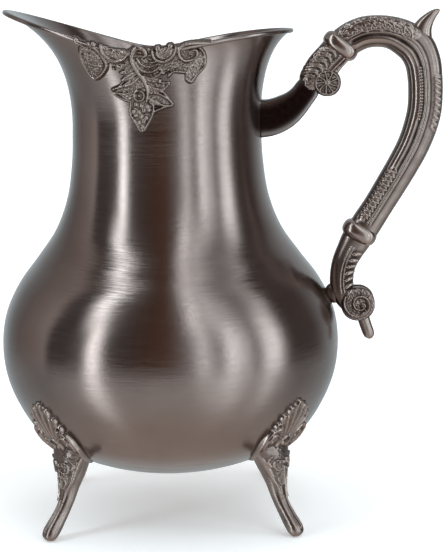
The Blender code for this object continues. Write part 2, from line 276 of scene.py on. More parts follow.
def carve(across, up, strokes):
    """The highest of all strokes at each point. A stroke is (profile, height, points), and its points are
    (across, up, half width); the height is -1 where no stroke reaches."""
    height = np.full(across.shape, -1.0)
    for profile, top, points in strokes:
        knots = np.array(points, float)
        if len(knots) == 1:
            curve = knots
        else:
            length = np.linalg.norm(np.diff(knots[:, :2], axis=0), axis=1).sum()
            curve = smooth_curve(knots, max(4, int(length / (0.3 * knots[:, 2].min())) + 2))
        widest = curve[:, 2].max()
        low, high = curve[:, :2].min(0) - widest, curve[:, :2].max(0) + widest
        near = (across > low[0]) & (across < high[0]) & (up > low[1]) & (up < high[1])
        if not near.any():
            continue
        x, y = across[near], up[near]
        q = np.full(x.shape, 9.0)
        for cx, cy, half in curve:
            q = np.minimum(q, np.hypot(x - cx, y - cy) / half)
        value = np.where(q < 1, top * profile(np.minimum(q, 1)), -1.0)
        height[near] = np.maximum(height[near], value)
    return height


def blurred(field, cells):
    """A running mean over a square of cells, taken twice."""
    for _ in range(2):
        for axis in (0, 1):
            size = field.shape[axis]
            edge = [(0, 0), (0, 0)]
            edge[axis] = (cells + 1, cells)
            total = np.cumsum(np.pad(field, edge, mode="edge"), axis=axis)
            width = 2 * cells + 1
            field = (
                np.take(total, np.arange(width, width + size), axis=axis)
                - np.take(total, np.arange(size), axis=axis)
            ) / width
    return field


def ridge_share(height, cells, gain):
    """0 in recesses and 1 on ridges: how far each point stands over the mean round it."""
    return np.clip(0.5 + gain * (height - blurred(height, cells)), 0, 1)


SUNK = -0.3  # height of the points that a casting doesn't keep
BACK = -0.7  # height of its hidden back
FRINGE_HEIGHT = 0.06
# relief of the fringe, dark: a line of painted shadow and patina
FRINGE_RELIEF = 0.12
LEAST_HEIGHT = 0.1
LUMP_HEIGHT = 0.32


def lumps(x, y):
    """Small uneven swellings from -1 to 1, about a millimetre and a half apart, as worn casting has."""
    first = np.sin(2.3 * x + 1.3 * np.sin(1.7 * y)) * np.sin(2.6 * y + 1.2 * np.sin(1.9 * x + 0.7))
    second = np.sin(4.1 * x - 1.7 * y + 0.9) * np.sin(3.7 * y + 2.2 * x)
    return 0.7 * first + 0.3 * second


def add_casting(solid, place, across, up, strokes):
    """Adds a cast plate: the carved strokes over a grid, laid on a surface by place(across, up, height).
    A thin fringe round it carries a dark line: painted shadow and patina along the plate's edge."""
    x, y = np.meshgrid(across, up)
    height = carve(x, y, strokes)
    carved = height > 0
    fringe = (blurred(carved.astype(float), 1) > 0) & ~carved
    inside = carved | fringe
    worn = blurred(np.maximum(height, 0), 1)
    height = np.where(carved, worn + LUMP_HEIGHT * lumps(x, y) * np.clip(1.8 - worn, 0.3, 1), SUNK)
    # Relief sets the colour: the fringe and the recesses dark with painted shade and patina, the ridges
    # light.
    relief = np.where(fringe, FRINGE_RELIEF, ridge_share(height, 3, 0.6))
    height = np.where(fringe, FRINGE_HEIGHT, np.where(inside, np.maximum(height, LEAST_HEIGHT), SUNK))
    kept = inside[:-1, :-1] | inside[1:, :-1] | inside[:-1, 1:] | inside[1:, 1:]
    front = grid_faces(*x.shape)[kept.reshape(-1)]
    count = x.size
    back = front[:, ::-1] + count
    edges = np.concatenate([front[:, [k, (k + 1) % 4]] for k in range(4)])
    codes = edges[:, 0] * count + edges[:, 1]
    lone = edges[~np.isin(codes, edges[:, 1] * count + edges[:, 0])]
    walls = np.stack([lone[:, 1], lone[:, 0], lone[:, 0] + count, lone[:, 1] + count], axis=1)
    layers = (height, np.full(x.shape, BACK))
    points = np.concatenate([place(x, y, layer).reshape(-1, 3) for layer in layers])
    faces = np.concatenate([front, back, walls])
    used, faces = np.unique(faces, return_inverse=True)
    both = np.concatenate([relief.reshape(-1), np.full(count, 0.5)])
    solid.add(points[used], faces.reshape(-1, 4).tolist(), both[used])


# -------- materials

def new_material(name, colour, roughness):
    material = bpy.data.materials.new(name)
    material.use_nodes = True
    shader = material.node_tree.nodes["Principled BSDF"]
    shader.inputs["Base Color"].default_value = (*colour, 1)
    shader.inputs["Roughness"].default_value = roughness
    shader.inputs["Metallic"].default_value = 1
    return material, shader


def fill(owner, node, inputs):
    """Sets a node's inputs to values, or links them to outputs."""
    for key, value in inputs.items():
        socket = node.inputs[key]
        if isinstance(value, bpy.types.NodeSocket):
            owner.node_tree.links.new(value, socket)
        else:
            socket.default_value = value


def add_node(owner, kind, inputs=None, **settings):
    """A new node in a material's or a world's tree, its kind without the ShaderNode before it."""
    node = owner.node_tree.nodes.new("ShaderNode" + kind)
    for key, value in settings.items():
        setattr(node, key, value)
    fill(owner, node, inputs or {})
    return node


def math_node(owner, operation, *values):
    return add_node(owner, "Math", dict(enumerate(values)), operation=operation).outputs[0]


def scaled_noise(material, scale, detail, roughness=0.5):
    """Noise in the object's own space, scaled apart along x, y and z."""
    place = add_node(material, "TexCoord").outputs["Object"]
    mapping = add_node(material, "Mapping", {"Vector": place, "Scale": scale})
    return add_node(
        material, "TexNoise",
        {"Vector": mapping.outputs["Vector"], "Scale": 1.0, "Detail": detail, "Roughness": roughness},
    ).outputs["Fac"]


def ranged(owner, value, low, high, from_low=0.0, from_high=1.0, **settings):
    ends = {"From Min": from_low, "From Max": from_high, "To Min": low, "To Max": high}
    return add_node(owner, "MapRange", {"Value": value, **ends}, **settings).outputs["Result"]


def mixed(owner, factor, first, second):
    """Two colours mixed by a factor. Each is a tuple or an output."""
    inputs = {0: factor, 6: first, 7: second}
    inputs = {key: (*value, 1) if isinstance(value, tuple) else value for key, value in inputs.items()}
    return add_node(owner, "Mix", inputs, data_type="RGBA").outputs[2]


def bumped(material, height, strength, distance):
    inputs = {"Height": height, "Strength": strength, "Distance": distance}
    return add_node(material, "Bump", inputs).outputs["Normal"]


def relief_of(material):
    return add_node(material, "Attribute", attribute_name="relief").outputs["Fac"]


SPUN_COLOUR = (0.262, 0.2, 0.18)
SPUN_DARK = (0.222, 0.163, 0.145)
CAST_RIDGE = (0.33, 0.25, 0.22)
# colour of the recesses: patina and painted shade together
CAST_PATINA_AND_SHADE = (0.032, 0.021, 0.018)
STRAP_COLOUR = (0.03, 0.018, 0.017)
STRAP_EDGE_HIGHLIGHT = (0.3, 0.26, 0.25)


def make_spun_copper():
    """Antique copper brushed round the body: fine level scratches, and broad faint bands of patina."""
    material, shader = new_material("spun_copper", SPUN_COLOUR, 0.27)
    brushing = scaled_noise(material, (80, 80, 2400), 4, 0.62)
    bands = scaled_noise(material, (14, 14, 420), 2)
    clouds = scaled_noise(material, (22, 22, 26), 3)
    tangent = add_node(material, "Tangent", direction_type="RADIAL", axis="Z")
    fill(material, shader, {
        "Base Color": mixed(material, ranged(material, clouds, 0.0, 1.0, 0.35, 0.65), SPUN_COLOUR, SPUN_DARK),
        "Roughness": ranged(material, brushing, 0.07, 0.24, 0.32, 0.68),
        "Normal": bumped(material, math_node(material, "ADD", brushing, bands), 0.22, 0.00025),
        "Anisotropic": 0.9,
        "Anisotropic Rotation": 0.25,
        "Tangent": tangent.outputs["Tangent"],
    })
    return material


def make_cast_copper():
    """Cast copper: nearly black in the recesses, patina and painted shade together, rubbed bright on the
    ridges, finely pitted.
    """
    material, shader = new_material("cast_copper", CAST_RIDGE, 0.33)
    grain = scaled_noise(material, (900, 900, 900), 4)
    wear = scaled_noise(material, (160, 160, 160), 3)
    shifted = math_node(material, "MULTIPLY_ADD", wear, 0.35, relief_of(material))
    share = ranged(material, shifted, 0.0, 1.0, 0.22, 0.85)
    fill(material, shader, {
        "Base Color": mixed(material, share, CAST_PATINA_AND_SHADE, CAST_RIDGE),
        "Roughness": ranged(material, share, 0.42, 0.2),
        "Normal": bumped(material, grain, 0.12, 0.0003),
    })
    return material


def make_dark_copper():
    """The strap: nearly black polished copper, with painted highlights along its edges."""
    material, shader = new_material("dark_copper", STRAP_COLOUR, 0.2)
    grain = scaled_noise(material, (500, 500, 500), 3)
    fill(material, shader, {
        "Base Color": mixed(material, relief_of(material), STRAP_COLOUR, STRAP_EDGE_HIGHLIGHT),
        "Roughness": ranged(material, grain, 0.16, 0.28, 0.3, 0.7),
    })
    return material


spun_copper = make_spun_copper()
cast_copper = make_cast_copper()
dark_copper = make_dark_copper()


# -------- body and bead

def closed_shell(outside):
    """The rings of a spun wall: up its outside and down its inside, one wall's thickness apart."""
    inside = outside - WALL * surface_normals(outside)
    return np.concatenate([outside, inside[::-1]])


def ring_rows(profile):
    turn = full_turn(BODY_COLUMNS)
    radius, height = profile[:, :1], profile[:, 1:]
    return polar(radius, turn, height + 0 * turn)


def make_upper_shell():
    belly = np.array([[body_radius(BELLY_HEIGHT), BELLY_HEIGHT]])
    profile = np.concatenate([belly, PROFILE[PROFILE[:, 1] > BELLY_HEIGHT + 0.2]])
    turn = full_turn(BODY_COLUMNS)
    flare = np.stack([flare_points(turn, share, 0.4) for share in np.linspace(0, 1, 49)[1:]])
    rings = closed_shell(np.concatenate([ring_rows(profile), flare]))
    solid = Solid()
    solid.add(rings, grid_faces(*rings.shape[:2], wrap_rows=True, wrap_columns=True).tolist())
    return solid.make("spun_upper_body", spun_copper, ["body_upper_shell"], sharp=40)


def make_lower_bowl():
    profile = PROFILE[(PROFILE[:, 0] > 1.5) & (PROFILE[:, 1] < BELLY_HEIGHT - 0.2)]
    belly = np.array([[body_radius(BELLY_HEIGHT), BELLY_HEIGHT]])
    rings = closed_shell(ring_rows(np.concatenate([profile, belly])))
    solid = Solid()
    solid.add_tube(rings)
    return solid.make("spun_lower_body", spun_copper, ["body_lower_bowl"], sharp=40)


def make_bead():
    turn = full_turn(480)
    path = flare_points(turn, 1.0)
    tangents = unit(np.roll(path, -1, 0) - np.roll(path, 1, 0))
    side = unit(np.cross(tangents, (0, 0, 1.0)))
    upward = np.cross(side, tangents)
    around = full_turn(20)[None, :, None]
    section = side[:, None] * np.cos(around) + upward[:, None] * np.sin(around)
    rings = path[:, None] + BEAD_RADIUS * BEAD_SHARE * section
    solid = Solid()
    solid.add(rings, grid_faces(*rings.shape[:2], wrap_rows=True, wrap_columns=True).tolist())
    return solid.make("rim_wire_bead", spun_copper, ["mouth_rim_bead"])


make_upper_shell()
make_lower_bowl()
make_bead()


# -------- ornaments under the rim

ORNAMENT_MIDDLE = math.atan2(-MOUTH_HALF_WIDTH, MOUTH_CENTRE_X)
FLARE_LENGTH = 36  # along the wall from the mouth down to the round neck
NECK_ARC = 48  # radius that turns a length across the ornament into an angle

# Strokes in millimetres: across the ornament (towards the handle is positive) and up from the mouth.
ORNAMENT_PLATE = (
    (flat, 0.55, ((-19, -3.4, 3.4), (-8, -4, 4), (0, -4.6, 4.6), (9, -4.2, 4.2), (19, -3.6, 3.6))),
    (flat, 0.55, ((-22, -3, 3.6), (-22.3, -8, 5.2), (-22.8, -12, 4.2), (-23.5, -15.4, 1.9))),
    (flat, 0.55, ((0, -4, 8), (0, -11, 8.4), (-1, -18, 6.6), (-0.5, -24, 5), (-0.4, -30, 4.6),
        (-0.4, -34, 2.6))),
    (flat, 0.6, ((13, -6, 5.5), (21, -6, 6.4), (25, -10, 5), (23.4, -15, 2.6))),
    (flat, 1, ((-13, -1.4, 2.6), (-9, -1.2, 3))),
    (flat, 1, ((9.4, -0.6, 3), (12, -0.4, 3))),
)
ORNAMENT_STROKES = (
    # left shell lobe with its rim
    (rounded, 1.5, ((-24.6, -3, 0.7), (-26.8, -8, 0.7), (-26.2, -13, 0.7), (-23.6, -17, 0.8),
        (-20, -15.2, 0.7), (-17.6, -12.6, 0.7), (-15.6, -8.5, 0.7), (-17.2, -4.2, 0.7))),
    # scrolls that run from the lobe to the rim
    (rounded, 1.7, ((-26.4, -0.6, 1.1), (-23.4, -1.2, 0.8), (-20.2, -3, 0.8), (-18.2, -5.8, 0.7))),
    (rounded, 1.7, ((-21.5, 0.4, 0.8), (-18.6, -1.4, 0.8), (-16.6, -4, 0.8), (-15.4, -7.6, 0.7))),
    # left swag, with a thin line under it
    (rounded, 2, ((-16.4, 1.4, 0.8), (-16, -2.4, 0.9), (-12.2, -5.4, 1.05), (-7.8, -3.4, 0.9),
        (-5.4, 0.6, 0.8))),
    (rounded, 1.2, ((-15.6, -5.6, 0.5), (-12, -7.4, 0.55), (-7.8, -6.6, 0.55), (-5, -3.6, 0.5))),
    # central stem, from the eye up to the curled leaf over the rim
    (rounded, 2.1, ((1.9, -24.2, 0.6), (2.6, -19.5, 0.9), (1.2, -14.5, 1), (-1.8, -9.5, 1.1),
        (-3.8, -4.6, 1.15), (-3.6, 0.4, 1.2), (-1.4, 3.4, 1.3), (1.6, 2.6, 1.2), (2.3, 0, 1),
        (0.8, -1, 0.8))),
    (rounded, 1.7, ((-2.8, -3.4, 0.7), (-1.2, -7.2, 0.95), (2.2, -9.6, 1), (6, -9.4, 0.9),
        (8.6, -7.4, 0.6))),
    (rounded, 1.6, ((-1.8, -1.6, 0.6), (0, -5.2, 0.8), (3.4, -7, 0.8), (7, -6.2, 0.5))),
    (rounded, 1.5, ((0.6, -2.4, 0.5), (2.4, -4.4, 0.6), (5, -4.6, 0.5))),
    (rounded, 1.6, ((-2, -9.6, 0.7), (0.6, -12, 0.95), (4.4, -12.8, 0.85), (8, -11.8, 0.7),
        (10, -9.4, 0.5))),
    # acanthus leaflets to the left of the stem
    (leafy, 1.5, ((-3.4, -5.6, 0.7), (-7, -7.6, 1), (-10.4, -8.4, 0.5))),
    (leafy, 1.6, ((-3, -7.8, 0.8), (-6.2, -9.8, 1.1), (-9.6, -11.2, 0.5))),
    (leafy, 1.7, ((-2.6, -10.2, 0.8), (-5.6, -12.6, 1.2), (-9.2, -14.6, 0.5))),
    (leafy, 1.7, ((-2, -12.8, 0.8), (-5, -15.2, 1.2), (-8.8, -17.4, 0.5))),
    (dished, 2, ((-3.6, -17.8, 1.3), (-8, -19.2, 2.2), (-11.8, -20.2, 1.5), (-15, -21, 0.5))),
    (rounded, 1.2, ((-8.8, -15.6, 0.4), (-10.4, -17.4, 0.4), (-15.2, -20.8, 0.4), (-9.6, -23.6, 0.45),
        (-6, -24.2, 0.5))),
    (leafy, 1.5, ((-3.6, -21, 0.8), (-6.6, -22.4, 1.1), (-9.6, -22.4, 0.5))),
    # leaflets to the right
    (leafy, 1.7, ((1.6, -12.6, 0.8), (5, -14.4, 1.1), (8.8, -14.8, 0.5))),
    (dished, 1.9, ((2.4, -15, 1.1), (6.2, -16.6, 1.9), (10, -17.6, 1.6), (12.8, -16.8, 0.5))),
    (leafy, 1.5, ((2.6, -17.6, 0.7), (6.2, -19.3, 0.9), (10.4, -19.4, 0.45))),
    (dished, 2.1, ((3.4, -21.2, 1.4), (7.4, -23.2, 2.5), (11, -24.9, 1.8), (14, -26.4, 0.5))),
    (leafy, 1.5, ((3.6, -23, 0.8), (6.6, -24.9, 1.1), (9.6, -26.2, 0.5))),
    (rounded, 1.2, ((4.4, -20.2, 0.4), (9, -20.2, 0.45), (12, -23, 0.45), (14.2, -26.2, 0.4),
        (9.2, -27.3, 0.45), (5, -28.8, 0.5))),
    # pendant's rim
    (rounded, 1.6, ((-5.6, -24.6, 0.6), (-6.3, -29, 0.6), (-3.4, -33.6, 0.6), (-0.5, -36.6, 0.7),
        (2.3, -33.4, 0.6), (4.6, -29.4, 0.6), (5, -26, 0.6), (3.4, -24.2, 0.5))),
    # right swag, a double band whose ends stand over the rim
    (rounded, 2, ((5.2, 1.6, 0.9), (6.2, -2.6, 0.9), (10.5, -5.4, 1.1), (14.6, -2.8, 0.95),
        (15.9, 1.6, 0.9))),
    (rounded, 1.7, ((7, 1, 0.6), (7.9, -1.9, 0.6), (10.5, -3.3, 0.65), (13.2, -2, 0.6), (14.2, 1, 0.6))),
    # right scroll, and the stem that leaves it along the rim
    (rounded, 2, ((17.4, 1, 0.9), (17.6, -3.6, 0.95), (20, -7, 1), (23.8, -7.2, 0.95), (26.2, -4.6, 0.85),
        (25, -2, 0.75), (22.6, -2.2, 0.65), (22.4, -4.2, 0.5))),
    (rounded, 1.7, ((16.8, -1, 0.7), (19, 1.6, 0.8), (23, 2, 0.8), (27.4, 1.4, 0.8), (31.5, 0.6, 0.6))),
    # right shell with a plain field
    (rounded, 1.4, ((27, -1.2, 0.6), (29.6, -5.6, 0.6), (30, -12.2, 0.6), (26.4, -15.2, 0.6),
        (23.2, -18, 0.65), (21.2, -16.4, 0.6), (21.2, -13.8, 0.6), (18.6, -12.7, 0.6), (14, -12, 0.55),
        (12.4, -13.6, 0.5))),
    (leafy, 1.3, ((18.4, -8.6, 0.6), (21.6, -10.4, 0.9), (24.6, -10.6, 0.5))),
)
ORNAMENT_BEADS = (
    (-22.5, -5.6, 1.1), (-20.3, -7.4, 1), (-23.6, -8.6, 1.1), (-19, -10, 1.1), (-21.6, -10.2, 1),
    (-23.8, -12, 1.1), (-20.9, -12.9, 0.9), (-23.4, -14.8, 0.9), (-17.6, -8.2, 0.9), (-14.6, 0.6, 1.3),
    (-7, 0.8, 1.3), (4.2, -2.6, 0.8), (6.4, -4.6, 0.7), (13.4, -8.4, 1), (15.8, -9.4, 1.1),
    (18.2, -10.8, 0.8), (16.2, -6.8, 0.9), (8.6, -9.2, 0.9), (10.8, -7.6, 0.9), (10.2, -11.4, 1),
    (12.4, -10.2, 0.8), (12.6, -12.4, 0.7), (-1.5, -21.3, 1.15), (-12.6, -9.6, 0.8), (-10.6, -6, 0.5),
    (7.8, 2.4, 1.5), (13.4, 2.4, 1.5), (-26.2, 0.4, 1.2), (-19.4, 1, 1.1),
)
PENDANT_GRAPES = ((-25.8, 3, 2.7), (-28.2, 4, 3.7), (-30.5, 3, 2.5), (-32.8, 2, 1.2), (-34.9, 1, 0))
RIM_BEADS_END = 45
PLATE_RAISE = 1.3  # times a plate stroke's height
LEAF_FILL = 1.25  # times a leafy stroke's half width
STROKE_FILL = 1.08  # times any other stroke's half width
FRONT_TOP = 4.6  # how far up from the mouth's edge the front ornament may reach
REAR_TOP = 1.0  # and the rear one
ORNAMENT_CELL = 0.19
EYE_CENTRE = (-1.5, -21.3)
EYE_RADIUS = 2.4


def dots(top, points):
    """A round bead at each (across, up, radius)."""
    return [(rounded, top, (point,)) for point in points]


def ring_stroke(centre, radius, half, top):
    turn = np.linspace(0, 2 * math.pi, 25)
    points = [(centre[0] + radius * math.cos(t), centre[1] + radius * math.sin(t), half) for t in turn]
    return rounded, top, points


def grape_beads():
    """Rows of grapes, (up, how many, reach to each side), narrowing to the pendant's tip."""
    beads = []
    for up, count, reach in PENDANT_GRAPES:
        for across in np.linspace(-reach, reach, count):
            beads.append((across - 0.7 + 0.3 * math.sin(5 * up), up + 0.5 * math.sin(2 * across), 1.4))
    return beads


def on_flare(across, up, height):
    """Points of the flare's outside by lengths across and up from the mouth, raised by a height."""
    angle = ORNAMENT_MIDDLE + across / NECK_ARC
    share = np.clip(1 + up / FLARE_LENGTH, 0, 1)
    step = 0.004
    base = flare_points(angle, share)
    around = flare_points(angle + step, share) - flare_points(angle - step, share)
    higher, lower = np.clip(share + step, 0, 1), np.clip(share - step, 0, 1)
    upward = flare_points(angle, higher) - flare_points(angle, lower)
    normal = unit(np.cross(around, upward))
    slope = mouth_rim(angle)[3]
    past = np.maximum(up, 0)
    below = np.minimum(up + FLARE_LENGTH, 0)
    over = polar(past * np.cos(slope), angle, past * np.sin(slope) + below)
    return base + over + normal * np.asarray(height)[..., None]


def make_ornament(name, node, mirrored):
    strokes = [(profile, PLATE_RAISE * top, points) for profile, top, points in ORNAMENT_PLATE]
    for profile, top, points in ORNAMENT_STROKES:
        fuller = LEAF_FILL if profile is leafy else STROKE_FILL
        strokes.append((profile, top + 0.1, [(x, y, half * fuller) for x, y, half in points]))
    strokes += dots(1.7, ORNAMENT_BEADS) + dots(1.9, grape_beads())
    strokes += dots(1.1, [(x, -0.3, 0.85) for x in np.arange(29.4, RIM_BEADS_END, 2.1)])
    strokes.append(ring_stroke(EYE_CENTRE, EYE_RADIUS, 0.65, 2.1))
    across = np.arange(-29, RIM_BEADS_END, ORNAMENT_CELL)
    up = np.arange(-38, REAR_TOP if mirrored else FRONT_TOP, ORNAMENT_CELL)
    solid = Solid()
    add_casting(solid, on_flare, across, up, strokes)
    return solid.make(name, cast_copper, [node], mirrored)


make_ornament("cast_ornament_front", "ornament_front", mirrored=False)
make_ornament("cast_ornament_rear", "ornament_rear", mirrored=True)


# -------- handle

GRIP_STATIONS = (
    (70.6, 214.6, 4.6, 5.6), (72.4, 219.4, 6.6, 6.2), (76.6, 225, 8, 6.4), (82, 231.5, 7.8, 6),
    (87.4, 237, 8, 6.2), (92.4, 240.6, 8, 6.4), (98.4, 243, 7.9, 6.5), (105, 243.6, 7.8, 6.5),
    (111.4, 242.8, 8, 6.6), (118, 240, 8.8, 6.7), (123.8, 235.4, 9.2, 6.7), (127, 229, 8.9, 6.7),
    (128.3, 221, 8.65, 6.7), (128.6, 213, 8.55, 6.7), (128.1, 204.6, 8.5, 6.7), (126, 196, 8.3, 6.7),
    (122.6, 187, 8, 6.6), (118, 178.2, 7.8, 6.5), (111.4, 167, 7.6, 6.3), (104.4, 155.6, 7.4, 6.2),
    (100.4, 149.4, 7.6, 6.2), (96.8, 143.8, 7.6, 6.2), (93.6, 138.8, 7.4, 6), (91.2, 134.4, 6.8, 5.6),
    (88.6, 129, 6.3, 5.4), (87.1, 122.6, 6, 5.2), (87.1, 116, 5.9, 5.2), (88.6, 110.6, 5.4, 5),
    (92, 106, 4.6, 4.6),
)
THORN_STATIONS = (
    (125.2, 228, 7.4, 6.2), (125.4, 235, 7.3, 5.8), (125.9, 240.6, 6, 4.9), (127.4, 245.4, 4.5, 3.9),
    (129.9, 249.2, 3.1, 2.9), (132.7, 252, 1.9, 2), (134.7, 253.3, 1, 1.1), (135.3, 253.6, 0.4, 0.5),
)
TAIL_STATIONS = (
    (96.6, 104, 3.2, 3), (98, 99.4, 3.1, 2.9), (99.3, 95.4, 3, 2.8), (100.5, 92, 2.9, 2.6),
    (101.1, 90.3, 2.4, 2.1), (101.5, 89, 1, 0.9),
)
ROSETTE_CENTRE = (79.9, 218.9)
VOLUTE_CENTRE = (95, 107.6)


def add_sweep(solid, stations, rows, columns, power=2.0):
    rings, _ = sweep(stations, rows, columns, power)
    solid.add_tube(rings)


def side_lines(w):
    """Height over the side's width, w from -1 at the inner edge to 1 at the outer: a round inner
    strip, a cove, two fine ridges and a broad outer band."""
    strip = 0.6 * hump(w, -0.5, 0.15, 4)
    cove = -0.5 * hump(w, -0.2, 0.1, 4)
    ridges = 0.45 * hump(w, -0.03, 0.05) + 0.45 * hump(w, 0.13, 0.05)
    groove = -0.35 * hump(w, 0.05, 0.03) - 0.35 * hump(w, 0.21, 0.03)
    edge = -0.35 * hump(w, -0.72, 0.04)
    return strip + cove + ridges + groove + edge


GRIP_ROWS = 900
GRIP_COLUMNS = 132
GRIP_LINE = smooth_curve(GRIP_STATIONS, GRIP_ROWS)
GRIP_LENGTHS = np.concatenate([[0], np.cumsum(np.linalg.norm(np.diff(GRIP_LINE[:, :2], axis=0), axis=1))])


def along(x, z):
    """Length along the handle's middle line to its nearest point."""
    return GRIP_LENGTHS[np.argmin(np.hypot(GRIP_LINE[:, 0] - x, GRIP_LINE[:, 1] - z))]


def arch_leaves():
    """Acanthus leaves over the outer half of the arch, between the collar and the thorn."""
    start, end = along(91, 239.5), along(119.5, 239)
    strokes = [(flat, 0.35, [(s, 4.4, 3.2) for s in np.linspace(start, end, 12)])]
    strokes.append((rounded, 0.8, [(s, 1.0 + 0.3 * math.sin(s), 0.45) for s in np.linspace(start, end, 14)]))
    for k, s in enumerate(np.linspace(start + 2.5, end - 2, 7)):
        lift = 0.5 if k % 2 else 0
        strokes += [
            (leafy, 1.5, ((s + 2.6, 1.9, 0.5), (s + 1, 3.2 + lift, 1.1), (s - 1.2, 4.2, 1.2),
                          (s - 3.2, 4.2, 0.5))),
            (leafy, 1.4, ((s + 1.8, 4.4, 0.6), (s + 0.2, 5.8, 1), (s - 2, 6.4, 0.8), (s - 3.2, 6.2, 0.4))),
            (rounded, 1.3, ((s + 0.2, 2.0, 0.6), (s - 1.4, 2.4, 0.5))),
            (rounded, 1.3, ((s + 2.4, 6.0, 0.7),)),
        ]
    return strokes


def spine_leaves():
    start, end = along(128.4, 220), along(126.4, 198)
    strokes = [(flat, 0.3, [(s, 6.2, 2.2) for s in np.linspace(start, end, 8)])]
    for s in np.linspace(start, end, 9):
        strokes += [
            (leafy, 1.1, ((s, 4.2, 0.5), (s + 1.2, 5.8, 0.8), (s + 1.6, 7.6, 0.5))),
            (rounded, 1.0, ((s - 1.2, 6.2, 0.55),)),
        ]
    return strokes


def pearl_line():
    return dots(0.9, [(s, -2.3, 0.72) for s in np.arange(along(127.6, 226), along(127, 200), 1.55)])


def braid():
    """The band of crossing leaves on the lower grip's inner strip."""
    start, end = along(115, 173.2), along(100.4, 149.4) - 2
    strokes = [(flat, 0.35, [(s, -3.2, 2.0) for s in np.linspace(start, end, 10)])]
    for s in np.linspace(start + 0.8, end, 11):
        strokes += [
            (rounded, 1.1, ((s - 0.9, -1.3, 0.4), (s, -3.2, 0.62), (s + 1, -5.2, 0.42))),
            (rounded, 0.9, ((s + 1.2, -1.5, 0.35), (s + 0.2, -2.6, 0.4), (s - 0.9, -4.4, 0.35))),
            (rounded, 1.0, ((s - 0.2, -5.3, 0.6),)),
        ]
    return strokes


def gadroons():
    """Twisted beads down the lower arm, beside two fine lines."""
    start, end = along(92.4, 136.6), along(87.2, 113)
    strokes = [
        (rounded, 0.8, [(s, -0.9, 0.42) for s in np.linspace(start, end, 12)]),
        (rounded, 0.8, [(s, 0.6, 0.35) for s in np.linspace(start, end, 12)]),
    ]
    for s in np.linspace(start + 2, end, 7):
        strokes.append((rounded, 1.5, ((s - 1.1, 4.7, 0.7), (s + 0.1, 3.2, 1.15), (s + 1.3, 1.7, 0.7))))
    return strokes


def carved_leaves():
    """Feathered leaves and flutes on the carved end, below the upper collar."""
    base = along(73, 219.5)
    strokes = [(flat, 0.3, [(s, 0, 5.6) for s in np.linspace(base - 2, base + 18, 8)])]
    for k in range(5):
        s = base + 1.2 + 3.3 * k
        strokes += [
            (leafy, 1.7, ((s - 1.8, 6.4, 0.6), (s + 0.4, 5.4, 1.1), (s + 2.6, 3.2, 1.2), (s + 3.4, 0.6, 0.9),
                          (s + 2, -1.2, 0.4))),
            (rounded, 1.2, ((s - 0.8, 4.2, 0.4), (s + 0.8, 2.8, 0.5), (s + 1.2, 0.8, 0.4))),
        ]
    for across in (-1.8, -3.6, -5.4):
        flute = [(s, across - 0.06 * (s - base), 0.6) for s in np.linspace(base + 9, base + 19, 4)]
        strokes.append((rounded, 1.2, flute))
    return strokes


def make_grip(solid):
    rings, turn = sweep(GRIP_STATIONS, GRIP_ROWS, GRIP_COLUMNS, 2.4)
    w = np.broadcast_to(np.cos(turn), rings.shape[:2])
    s = np.broadcast_to(GRIP_LENGTHS[:, None], rings.shape[:2])
    v = w * GRIP_LINE[:, 2:3]
    strokes = arch_leaves() + spine_leaves() + pearl_line() + braid() + gadroons() + carved_leaves()
    raised = np.maximum(carve(s, v, strokes), 0)
    raised = np.where(raised > 0, np.maximum(raised + 0.15 * lumps(s, v), 0.05), 0)
    raised = raised * np.clip((1 - np.abs(w)) / 0.2, 0, 1)
    first, last = along(90, 239), along(99, 148)
    lined = np.clip((s - first) / 2, 0, 1) * np.clip((last - s) / 2, 0, 1)
    height = raised + np.where(raised > 0, 0.3, 1.0) * lined * side_lines(w)
    normals = surface_normals(rings)
    middles = GRIP_LINE[:, None, :1] * (1, 0, 0) + GRIP_LINE[:, None, 1:2] * (0, 0, 1)
    if np.einsum("ijk,ijk->", normals, rings - middles) < 0:
        normals = -normals
    # Relief sets the colour: dark in the hollows between the carving and the lines, painted shade and patina,
    # lighter on the carving.
    relief = np.clip(ridge_share(height, 4, 0.85) + np.where(raised > 0, 0.08, 0), 0, 1)
    solid.add_tube(rings + normals * height[..., None] * 0.8, relief)


def add_bulge(solid, centre, direction, halves, power, relief=0.75):
    """A closed rounded body: half lengths along a direction, across it in the plane, and along y."""
    forward = np.array([direction[0], 0, direction[1]]) / math.hypot(*direction)
    sideways = np.array([forward[2], 0, -forward[0]])
    place = pole_to_pole(48)
    ring = (1 - np.abs(place) ** power) ** (1 / power)
    cosine, sine = squarish(full_turn(64), power)
    rings = (
        np.array([centre[0], 0, centre[1]])
        + forward * (halves[0] * place)[:, None, None]
        + sideways * (halves[1] * ring[:, None] * cosine)[..., None]
        + np.array([0, 1, 0]) * (halves[2] * ring[:, None] * sine)[..., None]
    )
    solid.add_tube(rings, relief)


def add_drum(solid, centre, radius, half_depth, power=5.0):
    """A round core across the handle, along y."""
    place = pole_to_pole(24)
    ring = radius * (1 - np.abs(place) ** power) ** (1 / power)
    turn = full_turn(64)
    rings = np.stack([
        centre[0] + ring[:, None] * np.cos(turn),
        np.broadcast_to(half_depth * place[:, None], (24, 64)),
        centre[1] + ring[:, None] * np.sin(turn),
    ], axis=-1)
    solid.add_tube(rings, 0.5)


def add_faces(solid, centre, reach, depth, strokes):
    """The same carved relief on both flat sides of the handle."""
    across = np.arange(centre[0] - reach, centre[0] + reach, 0.16)
    up = np.arange(centre[1] - reach, centre[1] + reach, 0.16)
    for side in (-1, 1):
        def place(x, z, height, side=side):
            return np.stack([x, side * (depth + height), z], axis=-1)
        add_casting(solid, place, across, up, strokes)


